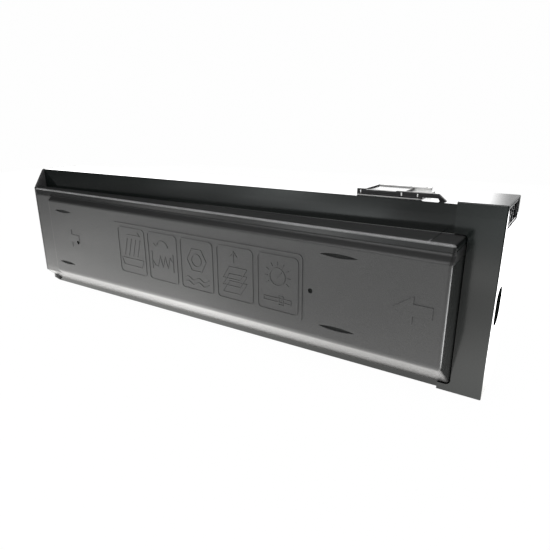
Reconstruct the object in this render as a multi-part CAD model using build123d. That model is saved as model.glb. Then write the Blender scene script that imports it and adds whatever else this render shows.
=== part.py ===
from build123d import *
import math
import os

os.makedirs("parts", exist_ok=True)

# The cartridge is drawn lying on its long narrow edge, as it stands on a table.
# x runs from the rear end (0) to the hand grip, y from the grip cap's face to the back,
# z from the cap's underside up. All sizes are millimetres.

# Overall sizes
length = 480.0
cap_height = 134.3
cap_depth = 53.4
cap_length = 30.0

# Body shells
wall = 2.0
body_top_drop = 1.8
body_base_lift = 1.3
body_face_inset = 1.5
cap_room = 4.6
cover_thickness = 3.0
cover_nose = 4.6
gear_room = 17.0
bulkhead_thickness = 2.0
back_edge_radius = 3.5

# Hump on the large face: a block with a ledge on top and a raised panel, deeper towards the cap
hump_set_back = 3.7
taper_degrees = 2.04
ledge_depth_rear = 11.3
ledge_drop = 19.6
ledge_face_height = 6.5
panel_rise = 6.0
panel_bevel_height = 3.2
panel_start = 34.5
panel_bevel_run = 4.0
lip_height = 4.5
underside_slopes = (0.95, 0.745)
panel_foot_radius = 5.0
panel_edge_radius = 2.8
ledge_edge_radius = 1.2
end_edge_radius = 2.4
start_edge_radius = 1.5
junction_radius = 0.5
ledge_mark_from_cap = 8.6
ledge_mark_width = 0.7
ledge_mark_rise = 0.35

# Relief on the panel
relief = 0.4
plate_relief = 0.5
plate_start = 141.0
plate_end_gap = 102.3
plate_foot = 40.0
plate_top_gap = 10.7
plate_corner = 4.0
frame_count = 5
frame_side_gaps = (8.0, 3.2)
frame_rim_gaps = (4.0, 3.5)
frame_between = 4.2
frame_corner = 4.0
frame_line = 0.9
arrow_rear_tip = 57.0
arrow_end_gap = 33.8
arrow_middle_z = (66.0, 69.0)
arrow_head_length = 13.5
arrow_head_width = 18.5
arrow_shaft_length = 12.5
arrow_shaft_width = 8.2
slit_rear_x = (59.5, 55.5)
slit_end_gaps = (74.3, 74.1)
slit_upper_drops = (10.0, 7.4)
slit_lower_heights = (36.6, 42.0)
slit_length = 29.0
slit_width = 3.0
slit_depth = 1.2
gate_rear_place = (80.6, 62.6)
gate_end_gap = 95.8
gate_end_height = 66.6
gate_mark_radius = 1.9

# Grip cap
cap_wall_end = 2.4
cap_clearance = 0.2
cap_edge_radius = 0.8
notch_gap = 1.0
notch_foot_gap = 0.3
notch_corner = 4.0
pocket_height = 14.0
pocket_depth = 10.0
pocket_side = 4.5
pocket_rib = 1.5
pocket_rib_gaps = (21.9, 9.9)
pocket_window = 9.0
pocket_window_gap = 11.0
cup_wall = 1.4
finger_middle_y = 17.0
finger_middle_z = 64.0
finger_width = 22.0
finger_height = 27.0
finger_depth = 12.0
finger_flat = 4.0
catch_low_height = 36.0
catch_high_drop = 36.3
catch_from_cap = 5.0
catch_width = 12.0
catch_length = 4.0
catch_proud = 1.1
catch_play = 0.5

# Slide ribs under the body
rib_width = 4.0
rib_spacing = 20.0
rib_behind = 3.3
rib_rear_gap = 14.0
rib_cap_gap = 4.0

# Shafts and gears
shaft_radius = 3.0
shaft_end_play = 0.3
running_gap = 0.05
agitator_forward = 4.7
agitator_bar = 3.0
agitator_arm = 3.0
arm_count = 6
arm_end_gap = 8.0
sweep_gap = 1.0
film_overhang = 2.0
film_thickness = 0.6
auger_forward = 0.7
auger_drop = 18.5
auger_radius = 10.5
auger_blade = 1.8
auger_pitch = 70.0
auger_end_gap = 4.0
trough_gap = 0.8
trough_wall = 1.6
gear_module = 1.5
agitator_teeth = 28
idler_teeth = 18
auger_teeth = 14
idler_forward = 10.9
gear_width = 8.0
gear_wall_gap = 3.5
gear_rim = 4.0
gear_hub = 3.0
gear_spacing = 0.15
addendum_share = 0.8
dedendum_share = 1.05
tooth_backlash = 0.10
pressure_degrees = 20.0
idler_pin_radius = 2.5
idler_pin_head = 2.2
spacer_gap = 0.3
clip_thickness = 1.0
clip_gap = 0.4
coupling_radius = 9.0
coupling_gap = 1.0
coupling_recess = 0.3
coupling_slot = 4.0
coupling_slot_depth = 4.0
coupling_bore = 2.5
coupling_floor = 1.0
coupling_neck = 0.8
bush_flange_radius = 7.0
bush_flange = 1.5
bush_sleeve_radius = 5.0
seal_radius = 6.5
seal_thickness = 2.0
seal_gap = 0.2
locating_bore = 3.0
locating_height = 14.0
plug_radius = 12.0
plug_flange = 1.5
plug_lip = 2.0

# Cover screws
screw_inset = 4.6
screw_boss_radius = 3.4
screw_shank_radius = 1.3
screw_head_radius = 2.6
screw_head_height = 1.6
screw_length = 14.0
screw_sink = 0.2
screw_gap = 0.02
cross_reach = 1.5
cross_width = 0.6
cross_depth = 0.8

# Toner port and its shutter on the top edge
port_from_cap = 54.0
port_length = 20.0
port_width = 18.0
guide_rear_margin = 7.3
guide_front_margin = 18.0
guide_side_margin = 10.0
guide_base = 1.0
guide_rail = 2.7
guide_lip = 1.4
guide_height = 3.9
guide_top = 4.4
post_width = 1.9
rail_start_gap = 3.2
rail_end_gap = 4.8
block_start_gap = 1.0
block_end_gap = 2.1
block_height = 3.3
stop_width = 1.6
stop_height = 1.5
arm_start_gap = 1.5
arm_fall_run = 5.4
arm_clearance = 0.6
arm_foot_length = 4.3
arm_low = 1.6
arm_high = 4.5
gasket_thickness = 0.45
gasket_rim = 3.0
shutter_rear_cover = 5.0
shutter_front_cover = 3.5
shutter_gap = 0.15
shutter_thickness = 1.3
shutter_tab = 2.0
shutter_tab_gap = 1.2
shutter_travel = 26.0

# Places along the cartridge
cap_start = length - cap_length
body_front_end = length - finger_depth - cup_wall - cap_room
hump_end = body_front_end - hump_set_back
gear_room_end = cover_thickness + gear_room
chamber_start = gear_room_end + bulkhead_thickness
chamber_end = body_front_end - wall
gear_start = gear_room_end - gear_wall_gap - gear_width
shaft_x = (gear_start - 1, chamber_end + wall - shaft_end_play)

# Heights
body_top = cap_height - body_top_drop
body_base = body_base_lift
ledge_height = body_top - ledge_drop
ledge_face_low = ledge_height - ledge_face_height
panel_top = ledge_face_low - panel_bevel_height
lip_top = body_base + lip_height
plate_z = (plate_foot, panel_top - plate_top_gap)
frame_z = (plate_z[0] + frame_rim_gaps[0], plate_z[1] - frame_rim_gaps[1])
pocket_top = body_top
catch_heights = (catch_low_height, cap_height - catch_high_drop)

# Depths
body_back = cap_depth - body_face_inset
body_face = body_face_inset
body_middle = (body_face + body_back) / 2
shell_seam = body_face + wall
taper = math.tan(math.radians(taper_degrees))
hump_reach = ledge_depth_rear + panel_rise + taper * hump_end
finger_corner = (finger_width - finger_flat) / 2
rib_y = (body_middle + rib_behind - rib_spacing / 2, body_middle + rib_behind + rib_spacing / 2)

# Places on the panel
plate_x = (plate_start, hump_end - plate_end_gap)
frame_pitch = (plate_x[1] - plate_x[0] - sum(frame_side_gaps) + frame_between) / frame_count
frame_width = frame_pitch - frame_between
arrow_tips_x = (arrow_rear_tip, hump_end - arrow_end_gap)
slit_centres = (
    (slit_rear_x[0], panel_top - slit_upper_drops[0]),
    (slit_rear_x[1], slit_lower_heights[0]),
    (hump_end - slit_end_gaps[0], panel_top - slit_upper_drops[1]),
    (hump_end - slit_end_gaps[1], slit_lower_heights[1]),
)
gate_marks = (gate_rear_place, (hump_end - gate_end_gap, gate_end_height))

# Axes as (y, z), each gear in mesh with the next: feed screw at the top, idler, stirring frame
auger_axis = (body_middle - auger_forward, body_top - auger_drop)
idler_y = body_middle - idler_forward
agitator_y = body_middle - agitator_forward
reach_auger = gear_module * (auger_teeth + idler_teeth) / 2 + gear_spacing
reach_agitator = gear_module * (agitator_teeth + idler_teeth) / 2 + gear_spacing
idler_fall = math.sqrt(reach_auger**2 - (auger_axis[0] - idler_y) ** 2)
idler_axis = (idler_y, auger_axis[1] - idler_fall)
agitator_fall = math.sqrt(reach_agitator**2 - (agitator_y - idler_y) ** 2)
agitator_axis = (agitator_y, idler_axis[1] - agitator_fall)
film_reach = body_back - wall - sweep_gap - agitator_y
agitator_reach = film_reach - film_overhang
locating_place = (auger_axis[0], locating_height)
plug_place = ((agitator_axis[0] + auger_axis[0]) / 2, (agitator_axis[1] + auger_axis[1]) / 2)

# Places of the port, its guide and the shutter
port_middle = cap_start - port_from_cap
port_x = (port_middle - port_length / 2, port_middle + port_length / 2)
port_y = (auger_axis[0] - port_width / 2, auger_axis[0] + port_width / 2)
guide_x = (port_x[0] - guide_rear_margin, port_x[1] + guide_front_margin)
guide_y = (port_y[0] - guide_side_margin, port_y[1] + guide_side_margin)
rail_x = (guide_x[0] + rail_start_gap, port_x[1] + rail_end_gap)
block_x = (rail_x[1] + block_start_gap, guide_x[1] - block_end_gap)
arm_start = port_x[1] + arm_start_gap
shutter_x = (port_x[0] - shutter_rear_cover, port_x[1] + shutter_front_cover)
arm_bend = shutter_x[1] + shutter_travel + arm_clearance
arm_foot = arm_bend + arm_fall_run

centre_shift = Location((-length / 2, (hump_reach - cap_depth) / 2, 0))

written = []


def save(name, shape):
    """Place a finished piece with the origin under the middle of the cartridge and write it."""
    placed = shape.moved(centre_shift)
    placed.label = name
    export_step(placed, "parts/" + name + ".step")
    written.append(name)


def block(x, y, z):
    """A box between two x, two y and two z values."""
    size = (x[1] - x[0], y[1] - y[0], z[1] - z[0])
    corner = Location((x[0], y[0], z[0]))
    return corner * Box(*size, align=(Align.MIN, Align.MIN, Align.MIN))


def rod(axis, radius, x):
    """A cylinder along x at the given (y, z) axis."""
    place = Plane(origin=(x[0], axis[0], axis[1]), z_dir=(1, 0, 0), x_dir=(0, 1, 0))
    return place * Cylinder(radius, x[1] - x[0], align=(Align.CENTER, Align.CENTER, Align.MIN))


def across(points, x):
    """A prism along x from a closed outline of (y, z) points."""
    place = Plane(origin=(x[0], 0, 0), x_dir=(0, 1, 0), z_dir=(1, 0, 0))
    return extrude(place * make_face(Polyline(*points, close=True)), x[1] - x[0])


def hump_block(inset, x):
    """The tapered two-step block of the large face, with every outer face moved in by inset."""
    run = 1.0 + length
    deep = 60.0
    section_plane = Plane(
        origin=(0, -ledge_depth_rear, 0), x_dir=(taper, 1, 0), z_dir=(1, -taper, 0)
    )
    outline = Polyline(
        (deep, -1),
        (-panel_rise, -1),
        (-panel_rise, panel_top),
        (0, ledge_face_low),
        (0, ledge_height),
        (deep, ledge_height),
        close=True,
    )
    section = make_face(outline)
    if inset > 0:
        section = offset(section, -inset, kind=Kind.INTERSECTION)
    solid = extrude(section_plane * section, run)
    solid += extrude(section_plane * section, -run / 10)
    solid &= block(x, (-hump_reach - 1, shell_seam), (0, cap_height))
    solid -= panel_start_cut(inset)
    solid -= underside_cut(inset)
    return solid


def panel_start_cut(inset):
    """What is cut away ahead of the ledge face between the rear end and the panel's edge."""
    plan = Plane(origin=(0, -ledge_depth_rear, 0), x_dir=(1, -taper, 0), z_dir=(0, 0, 1))
    spread = 4 * panel_rise
    run = panel_bevel_run * spread / panel_rise
    foot = panel_start - panel_bevel_run + inset
    outline = Polyline(
        (-length / 10, inset),
        (foot, inset),
        (foot + run, inset - spread),
        (-length / 10, inset - spread),
        close=True,
    )
    return extrude(plan * make_face(outline), cap_height)


def underside_cut(inset):
    """What is cut away under the hump, from the lip up to the panel; steeper at the rear end."""
    far = 2 * hump_reach
    sections = []
    for x, slope in zip((0, length), underside_slopes):
        lift = inset * math.hypot(1, slope)
        outline = Polyline(
            (shell_seam, lip_top + lift - slope * wall),
            (body_face - far, lip_top + lift + slope * far),
            (body_face - far, -far),
            (shell_seam, -far),
            close=True,
        )
        place = Plane(origin=(x, 0, 0), x_dir=(0, 1, 0), z_dir=(1, 0, 0))
        sections.append(place * make_face(outline))
    return loft(sections, ruled=True)


def on_panel(shape, out, into):
    """Extrude a flat (x, z) outline from into below the panel face to out above it."""
    place = Plane(
        origin=(0, -ledge_depth_rear - panel_rise, 0), x_dir=(1, -taper, 0), z_dir=(-taper, -1, 0)
    )
    start = place.offset(-into)
    return extrude(start * shape, out + into)


def rounded(x, z, corner):
    """A flat rounded rectangle between two x and two z values."""
    centre = Location(((x[0] + x[1]) / 2, (z[0] + z[1]) / 2))
    return centre * RectangleRounded(x[1] - x[0], z[1] - z[0], corner)


def arrow_outline(tip_x, middle_z):
    """A block arrow that points to the rear end."""
    head = tip_x + arrow_head_length
    end = head + arrow_shaft_length
    half_head = arrow_head_width / 2
    half_shaft = arrow_shaft_width / 2
    points = Polyline(
        (tip_x, middle_z),
        (head, middle_z + half_head),
        (head, middle_z + half_shaft),
        (end, middle_z + half_shaft),
        (end, middle_z - half_shaft),
        (head, middle_z - half_shaft),
        (head, middle_z - half_head),
        close=True,
    )
    return make_face(points)


def slit_outline(centre):
    """A lens between two arcs."""
    half = slit_length / 2
    bow = slit_width / 2
    upper = ThreePointArc((-half, 0), (0, bow), (half, 0))
    lower = ThreePointArc((half, 0), (0, -bow), (-half, 0))
    return Location(centre) * make_face([upper, lower])


def panel_relief():
    """The raised plate, its picture frames and the two arrows."""
    raised = on_panel(rounded(plate_x, plate_z, plate_corner), plate_relief, wall / 2)
    for number in range(frame_count):
        start = plate_x[0] + frame_side_gaps[0] + number * frame_pitch
        frame_x = (start, start + frame_width)
        inner_x = (frame_x[0] + frame_line, frame_x[1] - frame_line)
        inner_z = (frame_z[0] + frame_line, frame_z[1] - frame_line)
        ring = rounded(frame_x, frame_z, frame_corner)
        ring -= rounded(inner_x, inner_z, frame_corner - frame_line)
        raised += on_panel(ring, plate_relief + relief, wall / 2)
    for tip_x, middle_z in zip(arrow_tips_x, arrow_middle_z):
        raised += on_panel(arrow_outline(tip_x, middle_z), relief, wall / 2)
    return raised


def long_hump_edge(solid, z):
    """The long edge of the hump's outer side whose middle is nearest the given height."""
    edges = solid.edges().filter_by(
        lambda e: e.length > length / 2 and e.center().Y < body_face - 5
    )
    return edges.sort_by(lambda e: abs(e.center().Z - z))[0]


def soften_hump(solid):
    """Round the hump's outer edges: most at the panel's foot, least at the ledge's edge."""
    foot = (lip_top + panel_top) / 4
    solid = fillet(long_hump_edge(solid, foot), panel_foot_radius)
    end_edges = solid.edges().filter_by(
        lambda e: abs(e.center().X - hump_end) < 0.01 and e.center().Y < body_face - 1
    )
    solid = fillet(end_edges, end_edge_radius)
    for z in (panel_top, ledge_face_low):
        solid = fillet(long_hump_edge(solid, z), panel_edge_radius)
    solid = fillet(long_hump_edge(solid, ledge_height), ledge_edge_radius)
    start_edges = solid.edges().filter_by(Axis.Z).filter_by(lambda e: e.center().X < 2 * panel_start)
    return fillet(start_edges.sort_by(Axis.Y)[0], start_edge_radius)


def front_shell():
    """The large face: a flat wall with the hump standing out of it, moulded as one shell."""
    body_x = (cover_thickness, body_front_end)
    outer = soften_hump(hump_block(0, (cover_thickness, hump_end)))
    sheet = block(body_x, (body_face, shell_seam), (body_base, body_top))
    hollow = hump_block(wall, (cover_thickness - 1, hump_end - wall))
    hollow += hump_opening()
    bulkhead = block((gear_room_end, chamber_start), (-hump_reach, shell_seam), (0, cap_height))
    shell = soften_junction(outer + sheet)
    shell += panel_relief() + ledge_mark()
    shell -= hollow - bulkhead
    for centre in slit_centres:
        shell -= on_panel(slit_outline(centre), wall, slit_depth)
    for place in gate_marks:
        dimple = Location(place) * Circle(gate_mark_radius)
        shell -= on_panel(dimple, wall, slit_depth)
    return shell


def soften_junction(shell):
    """Round the inner corner where the ledge and the hump's end meet the flat wall."""
    edges = shell.edges().filter_by(
        lambda e: abs(e.center().Y - body_face) < 0.01 and e.length > cap_length
    )
    top = edges.filter_by(lambda e: abs(e.center().Z - ledge_height) < 0.01)
    end = edges.filter_by(lambda e: abs(e.center().X - hump_end) < 0.01)
    return fillet(top + end, junction_radius)


def ledge_mark():
    """A thin raised line across the ledge near the cap."""
    start = cap_start - ledge_mark_from_cap
    x = (start, start + ledge_mark_width)
    y = (-ledge_depth_rear - taper * start + ledge_edge_radius, body_face + wall / 2)
    return block(x, y, (ledge_height - wall / 2, ledge_height + ledge_mark_rise))


def hump_opening():
    """The way through the flat wall behind the hump."""
    z_low = lip_top + wall
    z_high = ledge_height - wall
    x = (cover_thickness - 1, hump_end - wall)
    return block(x, (body_face - 0.5, shell_seam + 1), (z_low, z_high))


def rear_shell():
    """The deep tray behind the seam, with the port, the bearings' walls and the slide ribs."""
    body_x = (cover_thickness, body_front_end)
    outer = block(body_x, (shell_seam, body_back), (body_base, body_top))
    long_edges = outer.edges().filter_by(Axis.X).group_by(Axis.Y)[-1]
    outer = fillet(long_edges, back_edge_radius)
    inner_z = (body_base + wall, body_top - wall)
    inner_y = (shell_seam - 1, body_back - wall)
    room = block((cover_thickness - 1, gear_room_end), inner_y, inner_z)
    chamber = block((chamber_start, chamber_end), inner_y, inner_z)
    corners = chamber.edges().filter_by(Axis.X).group_by(Axis.Y)[-1]
    chamber = fillet(corners, back_edge_radius - wall / 2)
    shell = outer - room - chamber
    shell += auger_trough()
    shell += screw_bosses()
    rib_x = (rib_rear_gap, cap_start - rib_cap_gap)
    for y in rib_y:
        shell += block(rib_x, (y - rib_width / 2, y + rib_width / 2), (0, body_base + wall / 2))
    for z in catch_heights:
        shell += catch_ramp(z)
    shell -= bearing_holes()
    shell -= block(port_x, port_y, (auger_axis[1], cap_height))
    shell -= rod(plug_place, plug_radius, (chamber_end - 1, body_front_end + 1))
    return shell


def auger_trough():
    """A half tube over the feed screw, hung from the top wall, with a neck round the port."""
    inner = auger_radius + trough_gap
    outer = inner + trough_wall
    x = (gear_room_end, body_front_end - wall / 2)
    tube = rod(auger_axis, outer, x) - rod(auger_axis, inner, x)
    tube -= block(x, (0, cap_depth), (0, auger_axis[1]))
    web_y = outer * math.sin(math.radians(50))
    web_z = auger_axis[1] + outer * math.cos(math.radians(50)) - trough_wall / 2
    for side in (-1, 1):
        middle = auger_axis[0] + side * web_y
        web = (middle - trough_wall / 2, middle + trough_wall / 2)
        tube += block(x, web, (web_z, body_top - wall / 2))
    neck_x = (port_x[0] - trough_wall, port_x[1] + trough_wall)
    neck_y = (port_y[0] - trough_wall / 2, port_y[1] + trough_wall / 2)
    neck = block(neck_x, neck_y, (auger_axis[1] + inner * 0.7, body_top - wall / 2))
    return tube + (neck - rod(auger_axis, inner, (x[0] - 1, x[1] + 1)))


def bearing_holes():
    """Holes for the bushes in the bulkhead and in the front end wall."""
    holes = []
    for axis in (agitator_axis, auger_axis):
        holes.append(rod(axis, bush_sleeve_radius, (gear_room_end - 1, chamber_start + 1)))
        holes.append(rod(axis, bush_sleeve_radius, (chamber_end - 1, body_front_end + 1)))
    pin_end = gear_room_end + bulkhead_thickness / 2
    holes.append(rod(idler_axis, idler_pin_radius, (gear_room_end - 1, pin_end)))
    return holes


def screw_places():
    """The four (y, z) places of the cover screws."""
    low_y = shell_seam + screw_inset
    high_y = body_back - wall - screw_inset
    low_z = body_base + wall + screw_inset
    high_z = body_top - wall - screw_inset
    return [(low_y, low_z), (high_y, low_z), (high_y, high_z), (low_y, high_z)]


def screw_bosses():
    """Posts in the gear room's corners, each joined to the wall beside it."""
    x = (cover_thickness, gear_room_end + bulkhead_thickness / 4)
    middle = (body_base + body_top) / 2
    posts = []
    for y, z in screw_places():
        post = rod((y, z), screw_boss_radius, x)
        wall_z = body_top - wall / 2 if z > middle else body_base + wall / 2
        web_z = (min(z, wall_z), max(z, wall_z))
        post += block(x, (y - wall / 2, y + wall / 2), web_z)
        depth = (cover_thickness - 1, screw_length + 1)
        posts.append(post - rod((y, z), screw_shank_radius + screw_gap, depth))
    return posts


def catch_ramp(z):
    """A snap ramp on the back of the body that holds the cap."""
    start = cap_start + catch_from_cap
    end = start + catch_length
    foot = body_back - wall / 4
    proud = body_back + catch_proud
    flat = Plane(origin=(0, 0, z - catch_width / 2))
    outline = Polyline((start, foot), (start, proud), (end, foot), close=True)
    return extrude(flat * make_face(outline), catch_width)


def front_cap():
    """The grip cap: a sleeve over the body's end with a latch pocket and a finger recess."""
    cap = block((cap_start, length), (0, cap_depth), (0, cap_height))
    edges = cap.edges().filter_by(lambda e: e.center().X > cap_start + 1)
    cap = fillet(edges, cap_edge_radius)
    inner_y = (body_face - cap_clearance, body_back + cap_clearance)
    inner_z = (body_base - cap_clearance, body_top + cap_clearance)
    inner = block((cap_start - 1, length - cap_wall_end), inner_y, inner_z)
    cap -= inner
    cap += pocket_cup() + finger_cup()
    cap -= pocket_space()
    cap -= finger_space()
    for z in catch_heights:
        half = catch_width / 2 + catch_play
        window_z = (z - half, z + half)
        start = cap_start + catch_from_cap
        window_x = (start - catch_play, start + catch_length + catch_play)
        cap -= block(window_x, (body_back - 1, cap_depth + 1), window_z)
    return cap - hump_notch()


def hump_notch():
    """The cut in the cap's face that clears the end of the hump."""
    x = (cap_start - 10, hump_end + notch_gap)
    z = (lip_top - notch_foot_gap, ledge_height + notch_gap)
    face = Plane(origin=(0, -1, 0), x_dir=(1, 0, 0), z_dir=(0, -1, 0))
    outline = rounded(x, z, notch_corner)
    return extrude(face * outline, -(body_face + 2))


def pocket_span():
    """The y and z limits of the latch pocket in the cap's end face."""
    return (pocket_side, cap_depth - pocket_side), (pocket_top - pocket_height, pocket_top)


def pocket_cup():
    """The walls round the latch pocket, inside the cap."""
    y, z = pocket_span()
    cup_y = (y[0] - cup_wall, y[1] + cup_wall)
    cup_z = (z[0] - cup_wall, (cap_height + pocket_top) / 2)
    x = (length - pocket_depth - cup_wall, length - cap_wall_end / 2)
    return block(x, cup_y, cup_z)


def pocket_space():
    """The latch pocket with its ribs left standing and a square window in its floor."""
    y, z = pocket_span()
    floor = length - pocket_depth
    space = block((floor, length + 1), y, z)
    for gap in pocket_rib_gaps:
        middle = y[1] - gap
        rib = (middle - pocket_rib / 2, middle + pocket_rib / 2)
        space -= block((floor, length - pocket_depth / 3), rib, z)
    half = pocket_window / 2
    middle = y[0] + pocket_window_gap
    window_y = (middle - half, middle + half)
    window_z = ((z[0] + z[1]) / 2 - half, (z[0] + z[1]) / 2 + half)
    return space + block((floor - cup_wall - 1, floor + 1), window_y, window_z)


def finger_outline(grow):
    """The rounded finger recess in the cap's end face, drawn in y and z."""
    centre = Location((finger_middle_y, finger_middle_z))
    width = finger_width + 2 * grow
    height = finger_height + 2 * grow
    return centre * RectangleRounded(width, height, finger_corner + grow)


def end_face_prism(outline, x):
    """Extrude a (y, z) outline along x."""
    place = Plane(origin=(x[0], 0, 0), x_dir=(0, 1, 0), z_dir=(1, 0, 0))
    return extrude(place * outline, x[1] - x[0])


def finger_cup():
    """The walls round the finger recess, inside the cap."""
    x = (length - finger_depth - cup_wall, length - cap_wall_end / 2)
    return end_face_prism(finger_outline(cup_wall), x)


def finger_space():
    """The finger recess."""
    return end_face_prism(finger_outline(0), (length - finger_depth, length + 1))


def rear_cover():
    """The thin end plate that closes the gear room and follows the hump's outline."""
    slope = underside_slopes[0]
    underside = lip_top + slope * (body_face + ledge_depth_rear)
    nose = cover_nose
    points = [
        (body_face, body_top),
        (-ledge_depth_rear, ledge_height),
        (-ledge_depth_rear, underside),
        (-nose + body_face, lip_top + slope * nose),
        (-nose + body_face, lip_top),
        (body_face, body_base),
        (body_back, body_base),
        (body_back, body_top),
    ]
    plate = across(points, (0, cover_thickness))
    corners = plate.edges().filter_by(Axis.X).sort_by(Axis.Z)[-2:]
    plate = fillet(corners, back_edge_radius)
    plate -= rod(agitator_axis, coupling_radius + coupling_gap, (-1, cover_thickness + 1))
    plate -= rod(locating_place, locating_bore, (-1, cover_thickness + 1))
    for place in screw_places():
        plate -= rod(place, screw_head_radius + screw_sink, (-1, screw_head_height + screw_sink))
        plate -= rod(place, screw_shank_radius + screw_gap, (-1, cover_thickness + 1))
    return plate


def cover_screws():
    """Four pan-head screws with a cross recess, sunk in the cover."""
    screws = []
    seat = screw_head_height + screw_sink
    for place in screw_places():
        screw = rod(place, screw_head_radius, (screw_sink, seat))
        screw += rod(place, screw_shank_radius, (seat - 0.1, screw_length))
        y, z = place
        cross_x = (0, screw_sink + cross_depth)
        narrow = cross_width / 2
        for half_y, half_z in ((cross_reach, narrow), (narrow, cross_reach)):
            screw -= block(cross_x, (y - half_y, y + half_y), (z - half_z, z + half_z))
        screws.append(screw)
    return Compound(children=screws)


def agitator_frame():
    """The stirring frame: a shaft with arms that carry two long bars."""
    y, z = agitator_axis
    frame = rod(agitator_axis, shaft_radius, shaft_x)
    first = chamber_start + arm_end_gap
    last = chamber_end - arm_end_gap
    step = (last - first) / (arm_count - 1)
    half = agitator_bar / 2
    for number in range(arm_count):
        middle = first + number * step
        arm_x = (middle - agitator_arm / 2, middle + agitator_arm / 2)
        frame += block(arm_x, (y - half, y + half), (z - agitator_reach, z + agitator_reach))
    bar_x = (first - agitator_arm / 2, last + agitator_arm / 2)
    for side in (-1, 1):
        inner = z + side * (agitator_reach - agitator_bar)
        outer = z + side * agitator_reach
        frame += block(bar_x, (y - half, y + half), (min(inner, outer), max(inner, outer)))
    return frame


def agitator_film():
    """The thin sheet on one bar that wipes the chamber."""
    y, z = agitator_axis
    face = y + agitator_bar / 2
    overlap = agitator_arm / 2
    x = (chamber_start + arm_end_gap - overlap, chamber_end - arm_end_gap + overlap)
    low = z + agitator_reach - agitator_bar
    return block(x, (face, face + film_thickness), (low, z + film_reach))


def feed_auger():
    """The feed screw: a twisted blade on a shaft."""
    blade_x = (chamber_start + auger_end_gap, chamber_end - auger_end_gap)
    turn = 360.0 * (blade_x[1] - blade_x[0]) / auger_pitch
    start = Plane(origin=(blade_x[0], *auger_axis), x_dir=(0, 1, 0), z_dir=(1, 0, 0))
    section = start * Rectangle(2 * auger_radius, auger_blade)
    normal = Vector(blade_x[1] - blade_x[0], 0, 0)
    centre = Vector(blade_x[0], *auger_axis)
    blade = Solid.extrude_linear_with_rotation(section.face(), centre, normal, turn)
    return rod(auger_axis, shaft_radius, shaft_x) + blade


def pitch_radius(teeth):
    return gear_module * teeth / 2


def mesh_phase(axis_a, axis_b, phase_a, teeth_a, teeth_b):
    """The turn of gear b that lets it mesh with gear a, whose first tooth is at phase_a."""
    bearing = math.atan2(axis_b[1] - axis_a[1], axis_b[0] - axis_a[0])
    pitch_a = 2 * math.pi / teeth_a
    pitch_b = 2 * math.pi / teeth_b
    lead = (bearing - phase_a) % pitch_a
    return bearing + math.pi + pitch_b / 2 + lead * teeth_a / teeth_b


def tooth_flank(teeth):
    """Radii and half angles of an involute flank, from the root to the tip."""
    pitch = pitch_radius(teeth)
    base = pitch * math.cos(math.radians(pressure_degrees))
    root = pitch - dedendum_share * gear_module
    tip = pitch + addendum_share * gear_module
    half_pitch = math.pi / (2 * teeth) * (1 - tooth_backlash)
    pressure = math.radians(pressure_degrees)
    involute_pitch = math.tan(pressure) - pressure
    flank = []
    for radius in (root, max(root, base) + 0.05, pitch, tip):
        angle = math.acos(min(1.0, base / radius))
        involute = math.tan(angle) - angle
        flank.append((radius, half_pitch + involute_pitch - involute))
    return flank


def gear_blank(axis, teeth, phase):
    """A spur gear with involute flanks, drawn in y and z about its axis."""
    flank = tooth_flank(teeth)
    points = []
    for number in range(teeth):
        middle = phase + 2 * math.pi * number / teeth
        for radius, half in flank:
            points.append((radius, middle - half))
        for radius, half in reversed(flank):
            points.append((radius, middle + half))
    outline = [
        (axis[0] + radius * math.cos(angle), axis[1] + radius * math.sin(angle))
        for radius, angle in points
    ]
    return across(outline, (gear_start, gear_start + gear_width))


def dished(gear, axis, teeth):
    """Thin the web of a large gear between its rim and its hub."""
    rim = pitch_radius(teeth) - gear_rim
    hub = shaft_radius + gear_hub
    deep = gear_width / 3
    end = gear_start + gear_width
    for x in ((gear_start - 1, gear_start + deep), (end - deep, end + 1)):
        gear -= rod(axis, rim, x) - rod(axis, hub, x)
    return gear


def drive_train():
    """The three gears, their phases worked out so that they mesh."""
    idler = idler_axis
    phase_idler = mesh_phase(agitator_axis, idler, 0, agitator_teeth, idler_teeth)
    phase_auger = mesh_phase(idler, auger_axis, phase_idler, idler_teeth, auger_teeth)
    bore_x = (0, gear_start + gear_width + 1)
    large = dished(gear_blank(agitator_axis, agitator_teeth, 0), agitator_axis, agitator_teeth)
    save("agitator_gear", large - rod(agitator_axis, shaft_radius, bore_x))
    small = gear_blank(idler, idler_teeth, phase_idler)
    save("idler_gear", small - rod(idler, idler_pin_radius + running_gap, bore_x))
    last = gear_blank(auger_axis, auger_teeth, phase_auger)
    save("auger_gear", last - rod(auger_axis, shaft_radius, bore_x))
    pin_x = (gear_start - idler_pin_head, gear_room_end + bulkhead_thickness / 2)
    pin = rod(idler, idler_pin_radius, pin_x)
    spacer_x = (gear_start + gear_width + spacer_gap, gear_room_end)
    pin += rod(idler, idler_pin_radius + 1.5, spacer_x)
    save("idler_pin", pin)
    clip_x = (gear_start - clip_gap - clip_thickness, gear_start - clip_gap)
    clip = rod(idler, idler_pin_radius + 2, clip_x) - rod(idler, idler_pin_radius, clip_x)
    gap_y = (idler[0] - idler_pin_radius * 0.8, idler[0] + idler_pin_radius * 0.8)
    save("idler_clip", clip - block(clip_x, gap_y, (idler[1], idler[1] + 9)))


def drive_coupling():
    """The dog coupling at the rear end, which the machine's driver turns."""
    x = (coupling_recess, gear_start - coupling_neck)
    dog = rod(agitator_axis, coupling_radius, x)
    y, z = agitator_axis
    half = coupling_slot / 2
    reach = coupling_radius + 1
    slot_x = (0, coupling_recess + coupling_slot_depth)
    dog -= block(slot_x, (y - reach, y + reach), (z - half, z + half))
    dog -= block(slot_x, (y - half, y + half), (z - reach, z + reach))
    dog -= rod(agitator_axis, coupling_bore, (0, x[1] - coupling_floor))
    dog += rod(agitator_axis, shaft_radius + 2, (x[1] - 0.1, gear_start))
    return dog - rod(agitator_axis, shaft_radius, (gear_start - 1, gear_start + 1))


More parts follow.
